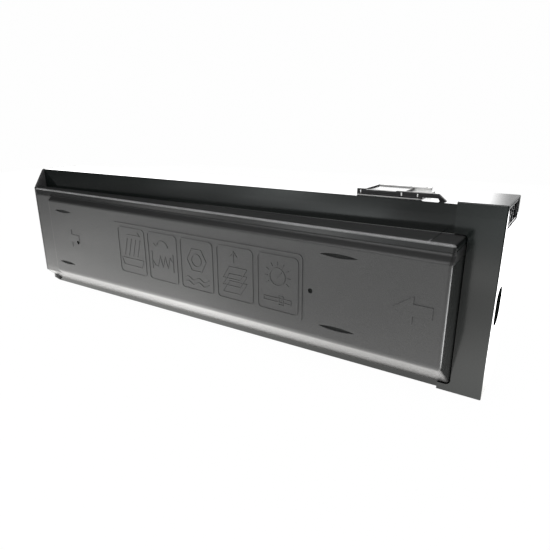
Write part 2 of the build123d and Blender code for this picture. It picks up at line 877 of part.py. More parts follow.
def bush(axis, wall_x, inside):
    """A flanged bush pressed in a wall; inside is the side of the wall its flange is on."""
    sleeve = rod(axis, bush_sleeve_radius, wall_x)
    flange_x = (wall_x[1], wall_x[1] + bush_flange)
    if inside < 0:
        flange_x = (wall_x[0] - bush_flange, wall_x[0])
    ring = sleeve + rod(axis, bush_flange_radius, flange_x)
    return ring - rod(axis, shaft_radius + running_gap, (wall_x[0] - 5, wall_x[1] + 5))


def bearings():
    """Bushes for both shafts at both walls, and a seal ring inside the bulkhead."""
    rear_wall = (gear_room_end, chamber_start)
    front_wall = (chamber_end, body_front_end)
    for name, axis in (("agitator", agitator_axis), ("auger", auger_axis)):
        save(name + "_rear_bush", bush(axis, rear_wall, 1))
        save(name + "_front_bush", bush(axis, front_wall, -1))
        seal_x = (chamber_start + bush_flange, chamber_start + bush_flange + seal_thickness)
        seal = rod(axis, seal_radius, seal_x)
        save(name + "_seal", seal - rod(axis, shaft_radius + seal_gap, seal_x))


def fill_plug():
    """The press-in plug of the filling hole in the front end wall."""
    plug = rod(plug_place, plug_radius, (chamber_end - plug_flange, body_front_end))
    flange_x = (body_front_end, body_front_end + plug_flange)
    plug += rod(plug_place, plug_radius + plug_lip, flange_x)
    return plug - rod(plug_place, plug_radius - plug_lip, (chamber_end, flange_x[1] + 1))


def raised_z(low, high):
    """Heights above the body's top wall."""
    return (body_top + low, body_top + high)


def guide_plate():
    """The plate round the port, with the rear rail that holds the shutter's far edge."""
    plate = block(guide_x, guide_y, raised_z(0, guide_base))
    plate -= block(port_x, port_y, raised_z(-1, guide_base + 1))
    rail_y = (guide_y[1] - guide_rail, guide_y[1])
    lip_y = (rail_y[0] - guide_lip, rail_y[0])
    rail_run = (rail_x[0], block_x[1])
    plate += block(rail_run, rail_y, raised_z(guide_base / 2, guide_height))
    plate += block(rail_run, lip_y, raised_z(lip_low(), guide_height))
    stop_x = (guide_x[0], guide_x[0] + stop_width)
    stop_y = (guide_y[0] + guide_rail + shutter_gap, guide_y[1])
    return plate + block(stop_x, stop_y, raised_z(guide_base / 2, guide_base + stop_height))


def shutter_guide():
    """The front bar on the guide plate: rail with lip, block, posts and the bridge arm."""
    bar_y = (guide_y[0], guide_y[0] + guide_rail)
    lip_y = (bar_y[1], bar_y[1] + guide_lip)
    bar = block(rail_x, bar_y, raised_z(guide_base, guide_height))
    bar += block(rail_x, lip_y, raised_z(lip_low(), guide_height))
    bar += block(block_x, bar_y, raised_z(guide_base, block_height))
    left_post = (guide_x[0], guide_x[0] + post_width)
    right_post = (guide_x[1] - post_width / 2, guide_x[1])
    bar += block(left_post, bar_y, raised_z(guide_base, guide_top))
    bar += block((left_post[0], rail_x[0] + guide_rail), bar_y, raised_z(guide_height, guide_top))
    bar += block(right_post, bar_y, raised_z(guide_base, block_height))
    return bar + bridge_arm()


def lip_low():
    """Height of the rails' lips over the top wall, just above the shutter."""
    return guide_base + gasket_thickness + 2 * shutter_gap + shutter_thickness


def bridge_arm():
    """The arm that runs from the front rail over to a foot on the body."""
    face = Plane(origin=(0, guide_y[0] + guide_rail, 0), x_dir=(1, 0, 0), z_dir=(0, -1, 0))
    low = body_top + arm_low
    high = body_top + arm_high
    outline = Polyline(
        (arm_start, body_top + guide_height),
        (arm_start, high),
        (arm_bend, high),
        (arm_foot, body_top),
        (arm_foot - arm_foot_length, body_top),
        (arm_bend, low),
        (block_x[1], low),
        (block_x[0], body_top + block_height),
        (rail_x[1], body_top + guide_height),
        close=True,
    )
    return extrude(face * make_face(outline), guide_rail)


def port_gasket():
    """A foam ring between the guide's base and the shutter."""
    x = (port_x[0] - gasket_rim, port_x[1] + gasket_rim)
    y = (port_y[0] - gasket_rim, port_y[1] + gasket_rim)
    z = raised_z(guide_base, guide_base + gasket_thickness)
    return block(x, y, z) - block(port_x, port_y, (z[0] - 1, z[1] + 1))


def shutter():
    """The sliding plate over the port, with an upstand that the machine holds."""
    low = guide_base + gasket_thickness + shutter_gap
    high = low + shutter_thickness
    y = (guide_y[0] + guide_rail + shutter_gap, guide_y[1] - guide_rail - shutter_gap)
    plate = block(shutter_x, y, raised_z(low, high))
    tab_gap = guide_lip + shutter_tab_gap
    tab_y = (y[0] + tab_gap, y[1] - tab_gap)
    tab_x = (shutter_x[0], shutter_x[0] + shutter_tab)
    return plate + block(tab_x, tab_y, raised_z(low, guide_height))


save("front_shell", front_shell())
save("rear_shell", rear_shell())
save("front_cap", front_cap())
save("rear_cover", rear_cover())
save("rear_cover_screws", cover_screws())
save("agitator_frame", agitator_frame())
save("agitator_film", agitator_film())
save("feed_auger", feed_auger())
drive_train()
save("drive_coupling", drive_coupling())
bearings()
save("fill_plug", fill_plug())
save("guide_plate", guide_plate())
save("shutter_guide", shutter_guide())
save("port_gasket", port_gasket())
save("shutter", shutter())
print(len(written), "pieces written")
for label, axis in (("agitator", agitator_axis), ("idler", idler_axis), ("auger", auger_axis)):
    print(label, "axis", centre_shift.position.Y + axis[0], axis[1])
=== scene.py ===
import math

import bmesh
import bpy
from mathutils import Matrix, Vector


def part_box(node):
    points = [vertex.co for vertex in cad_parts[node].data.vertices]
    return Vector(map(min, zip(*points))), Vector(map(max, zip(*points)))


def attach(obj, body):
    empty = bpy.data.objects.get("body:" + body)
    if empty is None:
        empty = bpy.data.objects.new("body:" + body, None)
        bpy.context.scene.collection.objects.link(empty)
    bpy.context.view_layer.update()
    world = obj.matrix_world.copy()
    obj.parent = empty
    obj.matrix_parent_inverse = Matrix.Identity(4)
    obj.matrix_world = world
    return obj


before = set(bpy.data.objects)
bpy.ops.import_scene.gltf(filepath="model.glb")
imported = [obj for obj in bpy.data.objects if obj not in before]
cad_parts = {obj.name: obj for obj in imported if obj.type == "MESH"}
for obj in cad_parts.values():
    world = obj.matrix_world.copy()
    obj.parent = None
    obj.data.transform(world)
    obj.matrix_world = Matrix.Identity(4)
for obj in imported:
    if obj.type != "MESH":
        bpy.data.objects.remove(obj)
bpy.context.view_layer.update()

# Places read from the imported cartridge, in metres
MM = 0.001
cap_low, cap_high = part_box("front_cap")
guide_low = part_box("shutter_guide")[0]
rear_end_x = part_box("rear_cover")[0].x
seam_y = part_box("front_shell")[1].y

# The front shell, with the same sizes as the solids; y0 and z0 are places at its rear end
taper_angle = math.radians(2.04)
taper = math.tan(taper_angle)
wall_face_y = seam_y - 2.0 * MM
ledge_face_y0 = cap_low.y - 11.3 * MM
panel_face_y0 = ledge_face_y0 - 6.0 * MM
body_top_z = 132.5 * MM
ledge_top_z = 112.9 * MM
ledge_mark_x = rear_end_x + 441.4 * MM
panel_top_z = 103.2 * MM
panel_start_x = rear_end_x + 34.5 * MM
panel_end_x = rear_end_x + 458.3 * MM
panel_foot_z0 = 23.9 * MM
panel_foot_climb = 0.0179

# Gate marks and slits in the panel, each by its distance along the panel and its height
gate_places = ((80.6 * MM, 62.6 * MM), (362.5 * MM, 66.6 * MM))
gate_radius = 1.9 * MM
gate_soft = 0.1
slit_places = (
    (59.5 * MM, 93.2 * MM),
    (55.5 * MM, 36.6 * MM),
    (384.0 * MM, 95.8 * MM),
    (384.2 * MM, 42.0 * MM),
)
slit_half_length = 14.5 * MM
slit_half_width = 1.5 * MM
slit_edge = (0.05, 0.12)

# Edges between the grains of the front shell, each by its place and half the width that it takes
hump_edge = (wall_face_y - 0.45 * MM, 0.1 * MM)
end_edge = (panel_end_x - 0.35 * MM, 0.25 * MM)
start_edge = (panel_start_x - 2.0 * MM, 1.5 * MM)
matt_edge = (panel_top_z + 2.6 * MM, 1.5 * MM)
matt_drop = 3.4 * MM
bevel_foot = (panel_top_z - 2.4 * MM, 0.8 * MM)
bevel_head = (panel_top_z + 4.6 * MM, 0.5 * MM)
ledge_edge = (ledge_top_z - 0.6 * MM, 0.3 * MM)
# Edges of the painted highlight band on the ledge's rounded front rim
rim_foot = (ledge_top_z - 1.5 * MM, 0.3 * MM)
rim_back = (ledge_face_y0 + 1.4 * MM, 0.3 * MM)
mark_near = (ledge_mark_x - 0.7 * MM, 0.2 * MM)
mark_far = (ledge_mark_x + 0.7 * MM, 0.2 * MM)
mark_back = (ledge_face_y0 + 7.0 * MM, 0.5 * MM)
# Edges of the painted highlight line along the panel's start edge
start_near = (panel_start_x - 1.0 * MM, 0.3 * MM)
start_far = (panel_start_x + 0.3 * MM, 0.3 * MM)
slope_edge = (panel_foot_z0 - 1.0 * MM, 2.5 * MM)

# Tints of the front shell, each from dark to light
wall_tints = ((0.0020, 0.0033, 0.0029), (0.0029, 0.0046, 0.0041))
step_tints = ((0.005, 0.0052, 0.0054), (0.013, 0.0133, 0.0136))
bevel_tints = ((0.004, 0.0042, 0.0043), (0.009, 0.0092, 0.0093))
ledge_tints = ((0.016, 0.0163, 0.0167), (0.040, 0.0404, 0.0408))
panel_tints = ((0.035, 0.0355, 0.0357), (0.060, 0.0607, 0.0610))
slope_tints = ((0.026, 0.0258, 0.0255), (0.038, 0.0377, 0.0373))
# Light tint of the painted highlight lines and of the small light mark on the ledge
highlight_and_mark_tints = ((0.18, 0.181, 0.183), (0.26, 0.262, 0.265))

# How strongly the slits take the wall's tint, and the painted highlight lines and the ledge's light mark
# their own
# The slits' dark wall tint is partly the plastic's own black and partly painted shade in the recesses
slit_strength = 0.85
rim_highlight_least = 0.55
rim_highlight_swing = 0.6
mark_strength = 0.6
start_strength = 0.5

# Roughness of the front shell: that of the polished wall, and what each zone adds to it
wall_rough = 0.13
zone_rough = {"hump": 0.08, "ledge": 0.14, "panel": 0.26, "slope": 0.08, "bare_bevel": 0.24, "marks": 0.35}

# The rear cover: where its inner side starts, the tints of both sides, the inner one lighter as painted
# light in its shade, and their roughness
cover_inner_edge = (rear_end_x + 2.6 * MM, 0.2 * MM)
cover_outer_tints = ((0.020, 0.0205, 0.021), (0.028, 0.0285, 0.029))
cover_inner_painted_light_tints = ((0.045, 0.0455, 0.046), (0.065, 0.0655, 0.066))
cover_rough = 0.45
cover_inner_rough = 0.1

# What all finishes share
plastic_ior = 1.5
white = (1.0, 1.0, 1.0)

# The picture frames on the raised plate, and the drawings in relief inside them
plate_rise = 0.5 * MM
first_frame_u = 149.0 * MM
frame_pitch = 41.6 * MM
frame_low_z = 44.0 * MM
motif_width = 0.75 * MM
motif_rise = 0.35 * MM
motif_rounding = 0.1 * MM
joint_sides = 10

# The lip along the foot of the guide's front bar
skirt_size = (47.0 * MM, 0.8 * MM, 1.1 * MM)
skirt_proud = 0.3 * MM
skirt_lift = 0.5 * MM
skirt_rounding = 0.2 * MM

# The guide's pale ribs: where each starts and ends from the guide's rear end, and their section
rib_spans = ((2.2 * MM, 3.1 * MM), (32.1 * MM, 33.1 * MM), (43.3 * MM, 44.1 * MM))
rib_depth = 2.3 * MM
rib_height = 2.7 * MM
rib_proud = 0.1 * MM
rib_lift = 1.0 * MM
rib_rounding = 0.15 * MM

# The cap's latch pocket and the slim frame in its mouth; a brace goes from its foot to its head
pocket_side = 4.5 * MM
pocket_height = 14.0 * MM
latch_inset = 1.2 * MM
latch_gap = 0.9 * MM
latch_width = 1.5 * MM
latch_rise = 0.6 * MM
brace_runs = ((9.0 * MM, 16.0 * MM), (25.0 * MM, 25.0 * MM))
brace_width = 1.1 * MM
brace_rise = 0.5 * MM
latch_rounding = 0.12 * MM

# The photograph's viewpoint, solved from the straight edges of the cartridge
lens_length = 31.04
sensor_width = 36.0
nearest_seen = 10.0 * MM
camera_place = (0.2758, -0.3232, 0.1829)
camera_right = (0.8394, 0.5435, -0.0027)
camera_back = (0.5176, -0.7980, 0.3087)

# Soft patches of light on the table, which the glossy wall mirrors: x, y and radiance of each
table_glows = (
    (-1.0, -0.80, 0.2),
    (-0.7, -0.80, 1.2),
    (-0.4, -0.80, 3.2),
    (-0.1, -0.80, 0.5),
    (0.2, -0.80, 1.2),
    (-0.4, -0.55, 0.2),
    (-0.1, -0.55, 2.0),
    (0.2, -0.55, 0.9),
    (-0.4, -0.30, 3.2),
    (-0.1, -0.30, 3.5),
    (0.2, -0.30, 1.4),
    (-0.3, -0.05, 2.7),
    (-0.03, -0.05, 3.2),
    (0.24, -0.05, 1.9),
)
glow_size = (0.5, 0.42)
glow_height = 0.4 * MM
cool_before_y = -0.4
cool_white = (0.95, 1.01, 1.01)
warm_white = (1.01, 1.0, 0.98)
lamp_edge = 0.5

# The table: half its sides, its colour as light falls on it, and the white that the camera sees
floor_reach = (1.6, 1.3)
floor_drop = 0.3 * MM
floor_colour = (0.30, 0.30, 0.30)
floor_white = 1.06
floor_white_share = 0.93

# The surroundings: the white that the camera sees, and the dim light that they give
world_white = 0.99
world_light = 0.05


class Value:
    """A number in a finish's node tree; the usual signs on it add Math nodes."""

    def __init__(self, finish, socket):
        self.finish = finish
        self.socket = socket

    def maths(self, operation, first, second=0.0):
        node = self.finish.add("ShaderNodeMath", {"operation": operation}, {0: first, 1: second})
        return self.finish.number(node)

    def __add__(self, other):
        return self.maths("ADD", self, other)

    def __sub__(self, other):
        return self.maths("SUBTRACT", self, other)

    def __rsub__(self, other):
        return self.maths("SUBTRACT", other, self)

    def __mul__(self, other):
        return self.maths("MULTIPLY", self, other)

    def __truediv__(self, other):
        return self.maths("DIVIDE", self, other)

    def __abs__(self):
        return self.maths("ABSOLUTE", self)

    __radd__ = __add__
    __rmul__ = __mul__


class Finish:
    """The look of a material, a lamp or the world, built node by node."""

    def __init__(self, owner, kind="Material"):
        self.owner = owner
        self.owner.use_nodes = True
        self.tree = owner.node_tree
        self.tree.nodes.clear()
        self.output = self.add("ShaderNodeOutput" + kind)

    def add(self, kind, settings=None, sockets=None):
        """Add one node: its settings first, then values or links for its sockets."""
        node = self.tree.nodes.new(kind)
        for key, value in (settings or {}).items():
            setattr(node, key, value)
        for key, value in (sockets or {}).items():
            target = node.inputs[key]
            if isinstance(value, Value):
                self.tree.links.new(value.socket, target)
            elif isinstance(value, bpy.types.NodeSocket):
                self.tree.links.new(value, target)
            else:
                target.default_value = value
        return node

    def close(self, shader):
        """Send the last shader to the output, and give back what wears it."""
        self.tree.links.new(shader.outputs[0], self.output.inputs[0])
        return self.owner

    def number(self, node, output=0):
        return Value(self, node.outputs[output])

    def place(self, stretch=(1.0, 1.0, 1.0)):
        """The point on the object, in metres, stretched along each axis."""
        where = self.add("ShaderNodeTexCoord")
        sockets = {"Vector": where.outputs["Object"], "Scale": stretch}
        return self.add("ShaderNodeMapping", {}, sockets).outputs["Vector"]

    def coordinates(self):
        """The x, y and z of the point on the object."""
        parts = self.add("ShaderNodeSeparateXYZ", {}, {"Vector": self.place()})
        return [self.number(parts, axis) for axis in range(3)]

    def noise(self, scale, detail=2.0, stretch=(1.0, 1.0, 1.0)):
        """Soft noise from 0 to 1."""
        sockets = {"Vector": self.place(stretch), "Scale": scale, "Detail": detail}
        return self.number(self.add("ShaderNodeTexNoise", {"noise_dimensions": "3D"}, sockets), "Fac")

    def above(self, value, edge):
        """0 below an edge and 1 above it; the edge is its place and half its soft width."""
        middle, soft = edge
        ramp = self.add(
            "ShaderNodeMapRange",
            {"clamp": True, "interpolation_type": "SMOOTHSTEP"},
            {"Value": value, "From Min": middle - soft, "From Max": middle + soft},
        )
        return self.number(ramp, "Result")

    def below(self, value, edge):
        """1 below an edge and 0 above it."""
        return 1.0 - self.above(value, edge)

    def between(self, value, low_edge, high_edge):
        """1 between two edges and 0 past them."""
        return self.above(value, low_edge) * self.below(value, high_edge)

    def blend(self, mask, low, high):
        """One colour turning into another; each is three numbers or an earlier blend."""
        ends = [end if isinstance(end, bpy.types.NodeSocket) else (*end, 1.0) for end in (low, high)]
        mix = self.add("ShaderNodeMix", {"data_type": "RGBA"}, {"Factor": mask, 6: ends[0], 7: ends[1]})
        return mix.outputs[2]

    def bump(self, height, strength, distance, normal=None):
        """A bump from a height; more than one can follow each other."""
        sockets = {"Height": height, "Strength": strength, "Distance": distance}
        if normal is not None:
            sockets["Normal"] = normal
        return self.add("ShaderNodeBump", {}, sockets).outputs["Normal"]

    def surface(self, **sockets):
        """Close with the plain surface shader."""
        named = {key.replace("_", " "): value for key, value in sockets.items()}
        return self.close(self.add("ShaderNodeBsdfPrincipled", {}, named))


def new_finish(name):
    return Finish(bpy.data.materials.new(name))


# Light, floor and camera


def fade_lamp(lamp, start, ways):
    """Let a lamp's light fade from start, a distance from its middle, to its edge."""
    finish = Finish(lamp, "Light")
    spot = finish.add("ShaderNodeNewGeometry").outputs["Parametric"]
    shift = (-lamp_edge * ways[0], -lamp_edge * ways[1], 0.0)
    centred = finish.add(
        "ShaderNodeVectorMath", {"operation": "MULTIPLY_ADD"}, {0: spot, 1: (*ways, 0.0), 2: shift}
    )
    reach = finish.add("ShaderNodeVectorMath", {"operation": "LENGTH"}, {0: centred.outputs[0]})
    limits = {"From Min": start, "From Max": lamp_edge, "To Min": 1.0, "To Max": 0.0}
    ramp = finish.add(
        "ShaderNodeMapRange",
        {"interpolation_type": "SMOOTHSTEP"},
        {"Value": reach.outputs["Value"], **limits},
    )
    finish.close(finish.add("ShaderNodeEmission", {}, {"Strength": ramp.outputs["Result"]}))


def soft_lamp(name, place, target, size, radiance, start=None, ways=(1.0, 1.0), colour=white):
    """A rectangular lamp that the camera doesn't see, with soft edges where start is given."""
    lamp = bpy.data.lights.new(name, "AREA")
    lamp.shape = "RECTANGLE"
    lamp.size = size[0]
    lamp.size_y = size[1]
    lamp.energy = radiance * math.pi * size[0] * size[1]
    lamp.color = colour
    if start is not None:
        fade_lamp(lamp, start, ways)
    holder = bpy.data.objects.new(name, lamp)
    bpy.context.scene.collection.objects.link(holder)
    holder.location = place
    aim = Vector(target) - Vector(place)
    holder.rotation_euler = aim.to_track_quat("-Z", "Y").to_euler()
    holder.visible_camera = False


def set_table_glows():
    """Glowing patches of the table, cooler far in front of the cartridge."""
    for number, (x, y, radiance) in enumerate(table_glows):
        soft_lamp(
            "table_glow_%d" % number,
            place=(x, y, glow_height),
            target=(x, y, 1.0),
            size=glow_size,
            radiance=radiance,
            start=0.0,
            colour=cool_white if y < cool_before_y else warm_white,
        )


def set_softboxes():
    """A glow past the cap, softboxes above and around, and low lights behind."""
    soft_lamp(
        "end_glow",
        place=(0.34, 0.36, 0.0006),
        target=(0.34, 0.36, 1.0),
        size=(0.34, 0.88),
        radiance=4.4,
        start=0.43,
    )
    soft_lamp("overhead", place=(0.1, -0.6, 0.88), target=(0.0, -0.05, 0.05), size=(1.1, 0.8), radiance=1.9)
    soft_lamp(
        "front_fill",
        place=(-0.4, -1.25, 0.95),
        target=(-0.05, 0.0, 0.1),
        size=(1.6, 0.7),
        radiance=2.6,
    )
    soft_lamp(
        "sky",
        place=(-0.2, 0.1, 0.98),
        target=(-0.2, 0.1, 0.0),
        size=(2.0, 0.9),
        radiance=0.6,
        start=0.2,
    )
    soft_lamp("back_fill", place=(-0.1, 1.4, 0.95), target=(0.0, 0.0, 0.07), size=(1.6, 0.7), radiance=2.2)
    soft_lamp("right_fill", place=(1.4, 0.2, 0.8), target=(0.2, 0.0, 0.07), size=(0.6, 0.9), radiance=1.8)
    soft_lamp("left_fill", place=(-1.3, 0.95, 0.5), target=(-0.2, 0.0, 0.07), size=(0.6, 0.9), radiance=1.2)
    soft_lamp(
        "behind",
        place=(-0.89, 0.95, 0.275),
        target=(-0.89, 0.0, 0.2),
        size=(2.05, 0.35),
        radiance=3.0,
        start=0.455,
        ways=(1.0, 0.0),
    )
    soft_lamp(
        "behind_right",
        place=(0.36, 0.96, 0.30),
        target=(0.30, 0.0, 0.25),
        size=(0.7, 0.5),
        radiance=0.62,
    )


def set_camera():
    """The camera, turned to the photograph's viewpoint."""
    lens = bpy.data.cameras.new("camera")
    lens.lens = lens_length
    lens.sensor_width = sensor_width
    lens.clip_start = nearest_seen
    view = bpy.data.objects.new("camera", lens)
    bpy.context.scene.collection.objects.link(view)
    back = Vector(camera_back).normalized()
    up = back.cross(Vector(camera_right)).normalized()
    turn = Matrix((up.cross(back), up, back)).transposed().to_4x4()
    view.matrix_world = Matrix.Translation(camera_place) @ turn
    bpy.context.scene.camera = view


def set_world():
    """White to the camera, dim grey as light."""
    world = bpy.data.worlds.new("world")
    finish = Finish(world, "World")
    seen = finish.number(finish.add("ShaderNodeLightPath"), "Is Camera Ray")
    dim = finish.add("ShaderNodeBackground", {}, {"Color": (*white, 1.0), "Strength": world_light})
    bright = finish.add("ShaderNodeBackground", {}, {"Color": (*white, 1.0), "Strength": world_white})
    finish.close(finish.add("ShaderNodeMixShader", {}, {0: seen, 1: dim.outputs[0], 2: bright.outputs[0]}))
    bpy.context.scene.world = world


def white_table():
    """A table that is white to the camera and keeps some of the cartridge's shadow."""
    finish = new_finish("floor_white")
    seen = finish.number(finish.add("ShaderNodeLightPath"), "Is Camera Ray")
    matt = finish.add("ShaderNodeBsdfDiffuse", {}, {"Color": (*floor_colour, 1.0)})
    glow = finish.add("ShaderNodeEmission", {}, {"Color": (*white, 1.0), "Strength": floor_white})
    sockets = {0: seen * floor_white_share, 1: matt.outputs[0], 2: glow.outputs[0]}
    return finish.close(finish.add("ShaderNodeMixShader", {}, sockets))


def set_floor():
    """The white table that the cartridge stands on."""
    shape = bmesh.new()
    bmesh.ops.create_grid(shape, x_segments=1, y_segments=1, size=1.0)
    bmesh.ops.transform(shape, matrix=Matrix.Diagonal((*floor_reach, 1.0, 1.0)), verts=shape.verts)
    mesh = bpy.data.meshes.new("floor")
    shape.to_mesh(mesh)
    shape.free()
    floor = bpy.data.objects.new("floor", mesh)
    bpy.context.scene.collection.objects.link(floor)
    floor.location.z = -floor_drop
    floor.data.materials.append(white_table())


# Finishes


def swing(pattern, amount):
    """A noise as a change up or down, by half the amount at most."""
    return amount * (pattern - 0.5)


def gloss_black(name, colour, roughness):
    """Polished moulded plastic with faint flow marks and hair-fine scratches."""
    finish = new_finish(name)
    cloud = finish.noise(scale=18.0, detail=3.0)
    fine = finish.noise(scale=900.0)
    hairs = finish.noise(scale=60.0, stretch=(1.0, 40.0, 1.0))
    tint = finish.blend(cloud, colour, tuple(1.3 * part for part in colour))
    rough = roughness + swing(cloud, 0.05) + 0.03 * fine + swing(hairs, 0.04)
    wave = finish.bump(cloud, strength=0.10, distance=2.0 * MM)
    grain = finish.bump(fine, strength=0.05, distance=0.2 * MM, normal=wave)
    return finish.surface(Base_Color=tint, Roughness=rough, Normal=grain, IOR=plastic_ior)


def matt_plastic(name, colour, roughness, grain=0.35, grain_scale=1400.0):
    """Textured moulded plastic, foam or felt."""
    finish = new_finish(name)
    cloud = finish.noise(scale=25.0, detail=3.0)
    fine = finish.noise(scale=grain_scale)
    darker = tuple(0.92 * part for part in colour)
    lighter = tuple(1.08 * part for part in colour)
    tint = finish.blend(cloud, darker, lighter)
    rough = roughness + swing(fine, 0.1)
    normal = finish.bump(fine, strength=grain, distance=0.4 * MM)
    return finish.surface(Base_Color=tint, Roughness=rough, Normal=normal, IOR=plastic_ior)


def steel(name, roughness):
    """Turned and plated steel."""
    finish = new_finish(name)
    rings = finish.noise(scale=300.0, stretch=(1.0, 0.1, 0.1))
    tint = finish.blend(rings, (0.52, 0.52, 0.54), (0.64, 0.64, 0.65))
    rough = roughness + swing(rings, 0.12)
    return finish.surface(Base_Color=tint, Roughness=rough, Metallic=1.0)


def satin_cover():
    """The rear cover: satin outside, and lighter grey on the moulded side that faces the body, painted
    light in its shade.
    """
    finish = new_finish("cover_black")
    inner = finish.above(finish.coordinates()[0], cover_inner_edge)
    cloud = finish.noise(scale=18.0, detail=3.0)
    fine = finish.noise(scale=900.0)
    outer_tint = finish.blend(cloud, *cover_outer_tints)
    # Painted light: the inner side is tinted lighter to lift its shade
    inner_tint = finish.blend(fine, *cover_inner_painted_light_tints)
    tint = finish.blend(inner, outer_tint, inner_tint)
    rough = cover_rough + cover_inner_rough * inner + swing(cloud, 0.05)
    grain = finish.bump(fine, strength=0.1, distance=0.2 * MM)
    return finish.surface(Base_Color=tint, Roughness=rough, Normal=grain, IOR=plastic_ior)


def gate_marks(finish, x, z):
    """1 inside the panel's small round gate marks."""
    mask = 0.0
    reach_limit = gate_radius * gate_radius
    for u, v in gate_places:
        apart_x = x - (rear_end_x + u * math.cos(taper_angle))
        apart_z = z - v
        reach = apart_x * apart_x + apart_z * apart_z
        mask = mask + finish.below(reach, (reach_limit, gate_soft * reach_limit))
    return mask


def slit_lenses(finish, x, z):
    """1 inside the panel's long lens-shaped slits."""
    mask = 0.0
    for u, v in slit_places:
        along = (x - (rear_end_x + u * math.cos(taper_angle))) / slit_half_length
        across = (z - v) / slit_half_width
        mask = mask + finish.above((1.0 - along * along) - abs(across), slit_edge)
    return mask


def face_zones(finish):
    """Masks for the zones of the front shell, by name."""
    x, y, z = finish.coordinates()
    depth = y + taper * (x - rear_end_x)
    foot = z - panel_foot_climb * (x - rear_end_x)
    hump = finish.below(y, hump_edge)
    steps = hump - hump * finish.above(x, end_edge)
    started = finish.above(x, start_edge)
    matt = steps * finish.below(z + matt_drop * started, matt_edge)
    bevel = hump * finish.between(z, bevel_foot, bevel_head) * started
    ledge = hump * finish.above(z, ledge_edge)
    slope = steps * finish.below(foot, slope_edge)
    panel = matt * (1.0 - slope)
    gates = gate_marks(finish, x, z)
    slits = slit_lenses(finish, x, z)
    return {
        "hump": hump,
        "steps": steps,
        "matt": matt,
        "bevel": bevel,
        "bare_bevel": bevel * (1.0 - panel),
        "ledge": ledge,
        "slope": slope,
        "panel": panel,
        "marks": matt * (gates + slits),
        # Gate dimples and slits take the wall's dark tint: partly the plastic's own black, partly painted
        # shade in these recesses
        "polished": hump * (gates + slit_strength * slits),
        # Painted highlight along the ledge's rounded front rim
        "rim": finish.above(z, rim_foot) * finish.below(depth, rim_back),
        "ledge_mark": ledge * finish.between(x, mark_near, mark_far) * finish.below(depth, mark_back),
        # Painted highlight line along the panel's start edge
        "start_line": matt * finish.between(x, start_near, start_far),
    }


def raised_face():
    """The front shell: polished wall, satin ledge and bevel, grained panel, smoother underside, with
    painted highlight lines, and slits and gate marks darkened partly by painted shade.
    """
    finish = new_finish("raised_face")
    zones = face_zones(finish)
    fine = finish.noise(scale=1500.0)
    coarse = finish.noise(scale=420.0)
    cloud = finish.noise(scale=20.0, detail=3.0)
    brushed = finish.noise(scale=40.0, detail=3.0, stretch=(1.0, 30.0, 30.0))
    # Painted highlight on the ledge's front rim, unevenly strong
    rim_highlight = rim_highlight_least + rim_highlight_swing * finish.noise(scale=60.0, detail=3.0)
    layers = (
        ("steps", fine, step_tints),
        ("ledge", brushed, ledge_tints),
        ("bevel", fine, bevel_tints),
        ("matt", fine, panel_tints),
        ("slope", fine, slope_tints),
    )
    wall_tint = finish.blend(cloud, *wall_tints)
    tint = wall_tint
    for zone, pattern, tints in layers:
        tint = finish.blend(zones[zone], tint, finish.blend(pattern, *tints))
    # Gate dimples and slits darkened to the wall's tint, partly painted shade in these recesses
    tint = finish.blend(zones["polished"], tint, wall_tint)
    # Painted highlights on the ledge's rim and the panel's start edge, and the light mark near the ledge's
    # end
    lines = zones["rim"] * rim_highlight + mark_strength * zones["ledge_mark"] + start_strength * zones["start_line"]
    tint = finish.blend(lines, tint, finish.blend(fine, *highlight_and_mark_tints))
    rough = wall_rough + swing(cloud, 0.05)
    for zone, extra in zone_rough.items():
        rough = rough + extra * zones[zone]
    grain = finish.bump(fine * zones["matt"], strength=0.40, distance=0.35 * MM)
    grain = finish.bump(coarse * zones["panel"], strength=0.15, distance=0.6 * MM, normal=grain)
    grain = finish.bump(brushed * zones["ledge"], strength=0.2, distance=0.3 * MM, normal=grain)
    return finish.surface(Base_Color=tint, Roughness=rough, Normal=grain, IOR=plastic_ior)


# Shapes


def add_block(shape, corner, size):
    """A box, from its lowest corner."""
    middle = Vector(corner) + Vector(size) / 2
    spot = Matrix.Translation(middle) @ Matrix.Diagonal((*size, 1.0))
    bmesh.ops.create_cube(shape, size=1.0, matrix=spot)


def add_stroke(shape, place, points, width, rise):
    """A raised line through flat points, with rounded joints."""
    for start, end in zip(points, points[1:]):
        run = Vector(end) - Vector(start)
        middle = (Vector(start) + Vector(end)) / 2
        turn = Matrix.Rotation(math.atan2(run.y, run.x), 4, "Z")
        size = Matrix.Diagonal((run.length, width, 2.0 * rise, 1.0))
        spot = place @ Matrix.Translation((middle.x, middle.y, 0.0)) @ turn @ size
        bmesh.ops.create_cube(shape, size=1.0, matrix=spot)
    for point in points:
        bmesh.ops.create_cone(
            shape,
            cap_ends=True,
            segments=joint_sides,
            radius1=width / 2,
            radius2=width / 2,
            depth=2.0 * rise,
            matrix=place @ Matrix.Translation((point[0], point[1], 0.0)),
        )


def round_edges(shape, offset, segments):
    """Round every edge of a shape."""
    bmesh.ops.bevel(
        shape,
        geom=shape.edges[:],
        offset=offset,
        segments=segments,
        profile=0.5,
        affect="EDGES",
        material=-1,
    )


def finished(name, shape, body, material):
    """Turn a bmesh into a piece that rides on a body."""
    mesh = bpy.data.meshes.new(name)
    shape.to_mesh(mesh)
    shape.free()
    piece = bpy.data.objects.new(name, mesh)
    bpy.context.scene.collection.objects.link(piece)
    mesh.materials.append(material)
    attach(piece, body)


# Drawings for the picture frames: each is a list of lines through points, in millimetres


def closed(*points):
    return list(points) + [points[0]]


def arc(centre, radius, first, last, count):
    """Points along an arc, its angles in degrees."""
    points = []
    for number in range(count + 1):
        angle = math.radians(first + (last - first) * number / count)
        points.append((centre[0] + radius * math.cos(angle), centre[1] + radius * math.sin(angle)))
    return points


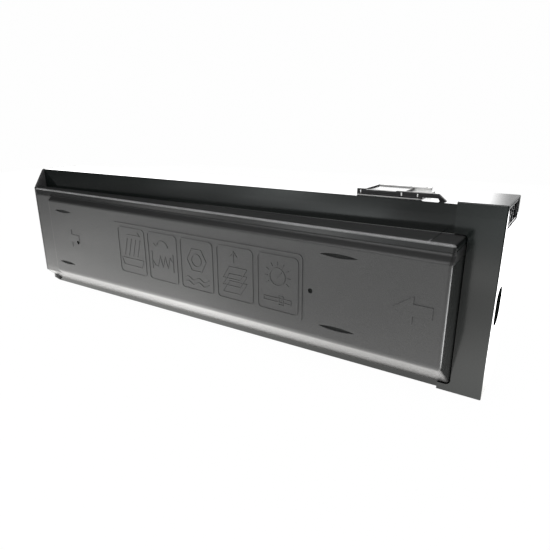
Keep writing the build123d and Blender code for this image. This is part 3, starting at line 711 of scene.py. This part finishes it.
def motif_tray():
    """A tray with slanted leaves over it."""
    lines = [closed((6, 8), (31, 8), (34, 15), (3, 15))]
    lines += [[(8 + 6 * n, 18), (13 + 6 * n, 34)] for n in range(4)]
    lines.append([(13, 38), (31, 38), (28, 41)])
    return lines


def motif_spring():
    """A coil spring between two bars, and a turning mark."""
    coil = [(9 + 3.2 * n, 14 if n % 2 else 24) for n in range(1, 7)]
    lines = [[(5, 11), (5, 27)], [(32, 11), (32, 27)], [(5, 19), (9, 14)] + coil + [(32, 19)]]
    lines.append(arc((18.5, 30), 8, 20, 165, 12))
    lines.append([(8, 34.5), (10.8, 32), (13.5, 34.6)])
    return lines


def motif_nut():
    """A six-sided nut with a bore over two waves."""
    middle = (18.7, 27)
    lines = [arc(middle, 11, 0, 360, 6), arc(middle, 5.5, 0, 360, 16)]
    for low in (6, 10):
        lines.append([(5 + n * 1.8, low + 1.4 * math.sin(n * 0.9)) for n in range(16)])
    return lines


def motif_sheets():
    """Three sheets lying on each other, and a mark for the way they go."""
    lines = [closed((6, 6 + n), (24, 6 + n), (31, 16 + n), (13, 16 + n)) for n in (0, 6, 12)]
    lines.append([(18, 32), (18, 41), (14.5, 37)])
    lines.append([(18, 41), (21.5, 37)])
    return lines


def motif_knob():
    """A knob with ticks over a slider."""
    middle = (18.7, 28)
    lines = [arc(middle, 7, 0, 360, 18), [middle, (22.5, 31.8)]]
    roots = arc(middle, 9.2, -30, 210, 8)
    tips = arc(middle, 11.5, -30, 210, 8)
    lines += [[root, tip] for root, tip in zip(roots, tips)]
    lines.append(closed((6, 8), (31, 8), (31, 11), (6, 11)))
    lines.append(closed((20, 6), (24, 6), (24, 13), (20, 13)))
    return lines


# Pieces that only the scene has


def panel_place():
    """The matrix from the panel's own plane, u along it, v up and w out of it, to the frame."""
    along = Vector((math.cos(taper_angle), -math.sin(taper_angle), 0.0))
    out = Vector((-math.sin(taper_angle), -math.cos(taper_angle), 0.0))
    turn = Matrix((along, Vector((0.0, 0.0, 1.0)), out)).transposed().to_4x4()
    return Matrix.Translation((rear_end_x, panel_face_y0, 0.0)) @ turn


def panel_motifs(material):
    """Raised line drawings in the panel's five frames."""
    shape = bmesh.new()
    plate = panel_place() @ Matrix.Translation((0.0, 0.0, plate_rise))
    drawings = (motif_tray(), motif_spring(), motif_nut(), motif_sheets(), motif_knob())
    for number, lines in enumerate(drawings):
        corner = (first_frame_u + number * frame_pitch, frame_low_z, 0.0)
        place = plate @ Matrix.Translation(corner)
        for line in lines:
            points = [(u * MM, v * MM) for u, v in line]
            add_stroke(shape, place, points, motif_width, motif_rise)
    round_edges(shape, motif_rounding, segments=1)
    finished("panel_motifs", shape, "housing", material)


def latch_frame(material):
    """A slim frame with two braces, just inside the mouth of the cap's latch pocket."""
    shape = bmesh.new()
    turn = Matrix(((0.0, 0.0, 1.0), (1.0, 0.0, 0.0), (0.0, 1.0, 0.0))).to_4x4()
    place = Matrix.Translation((cap_high.x - latch_inset, 0.0, 0.0)) @ turn
    near = cap_low.y + pocket_side + latch_gap
    far = cap_high.y - pocket_side - latch_gap
    foot = body_top_z - pocket_height + latch_gap
    head = body_top_z - latch_gap
    corners = closed((near, foot), (far, foot), (far, head), (near, head))
    add_stroke(shape, place, corners, latch_width, latch_rise)
    for start, end in brace_runs:
        add_stroke(shape, place, [(near + start, foot), (near + end, head)], brace_width, brace_rise)
    round_edges(shape, latch_rounding, segments=1)
    finished("latch_frame", shape, "housing", material)


def guide_skirt(material):
    """The lip along the foot of the guide's front bar."""
    shape = bmesh.new()
    add_block(shape, (guide_low.x, guide_low.y - skirt_proud, body_top_z + skirt_lift), skirt_size)
    round_edges(shape, skirt_rounding, segments=2)
    finished("guide_skirt", shape, "housing", material)


def guide_ribs(material):
    """Pale ribs of the guide plate that show at the three joints of the front bar."""
    shape = bmesh.new()
    for start, end in rib_spans:
        corner = (guide_low.x + start, guide_low.y - rib_proud, body_top_z + rib_lift)
        add_block(shape, corner, (end - start, rib_depth, rib_height))
    round_edges(shape, rib_rounding, segments=2)
    finished("guide_ribs", shape, "housing", material)


def dress_nodes(finishes):
    """Give each CAD node its finish."""
    for node, material in finishes.items():
        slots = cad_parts[node].data.materials
        slots.clear()
        slots.append(material)


set_camera()
set_table_glows()
set_softboxes()
set_world()
set_floor()

face = raised_face()
guide_black = gloss_black("guide_black", (0.005, 0.005, 0.0055), roughness=0.42)
guide_natural = matt_plastic("guide_natural", (0.87, 0.87, 0.86), roughness=0.32, grain=0.1)
inner_plastic = matt_plastic("inner_plastic", (0.72, 0.72, 0.69), roughness=0.45)
gear_plastic = matt_plastic("gear_plastic", (0.80, 0.79, 0.74), roughness=0.38, grain=0.1)
bush_plastic = matt_plastic("bush_plastic", (0.1, 0.1, 0.105), roughness=0.4, grain=0.1)
seal_felt = matt_plastic("seal_felt", (0.25, 0.25, 0.23), roughness=0.9, grain=0.9, grain_scale=800.0)
gasket_foam = matt_plastic("gasket_foam", (0.04, 0.04, 0.04), roughness=0.9, grain=0.9, grain_scale=900.0)
latch_plastic = matt_plastic("latch_plastic", (0.055, 0.056, 0.058), roughness=0.32, grain=0.1)
pin_steel = steel("pin_steel", roughness=0.24)

dress_nodes({
    "front_shell": face,
    "rear_shell": gloss_black("body_black", (0.009, 0.0093, 0.0097), roughness=0.17),
    "front_cap": gloss_black("cap_black", (0.0082, 0.0104, 0.0097), roughness=0.12),
    "rear_cover": satin_cover(),
    "shutter_guide": guide_black,
    "shutter": gloss_black("shutter_black", (0.005, 0.005, 0.0055), roughness=0.2),
    "guide_plate": guide_natural,
    "agitator_frame": inner_plastic,
    "feed_auger": inner_plastic,
    "agitator_film": matt_plastic("film", (0.78, 0.78, 0.74), roughness=0.25, grain=0.05),
    "agitator_gear": gear_plastic,
    "idler_gear": gear_plastic,
    "auger_gear": gear_plastic,
    "drive_coupling": matt_plastic("coupling_plastic", (0.05, 0.05, 0.052), roughness=0.35, grain=0.1),
    "agitator_rear_bush": bush_plastic,
    "agitator_front_bush": bush_plastic,
    "auger_rear_bush": bush_plastic,
    "auger_front_bush": bush_plastic,
    "agitator_seal": seal_felt,
    "auger_seal": seal_felt,
    "rear_cover_screws": steel("screw_steel", roughness=0.32),
    "idler_pin": pin_steel,
    "idler_clip": pin_steel,
    "fill_plug": matt_plastic("plug_plastic", (0.3, 0.3, 0.32), roughness=0.5),
    "port_gasket": gasket_foam,
})

panel_motifs(face)
latch_frame(latch_plastic)
guide_skirt(guide_black)
guide_ribs(guide_natural)

bpy.context.scene.view_settings.view_transform = "Standard"
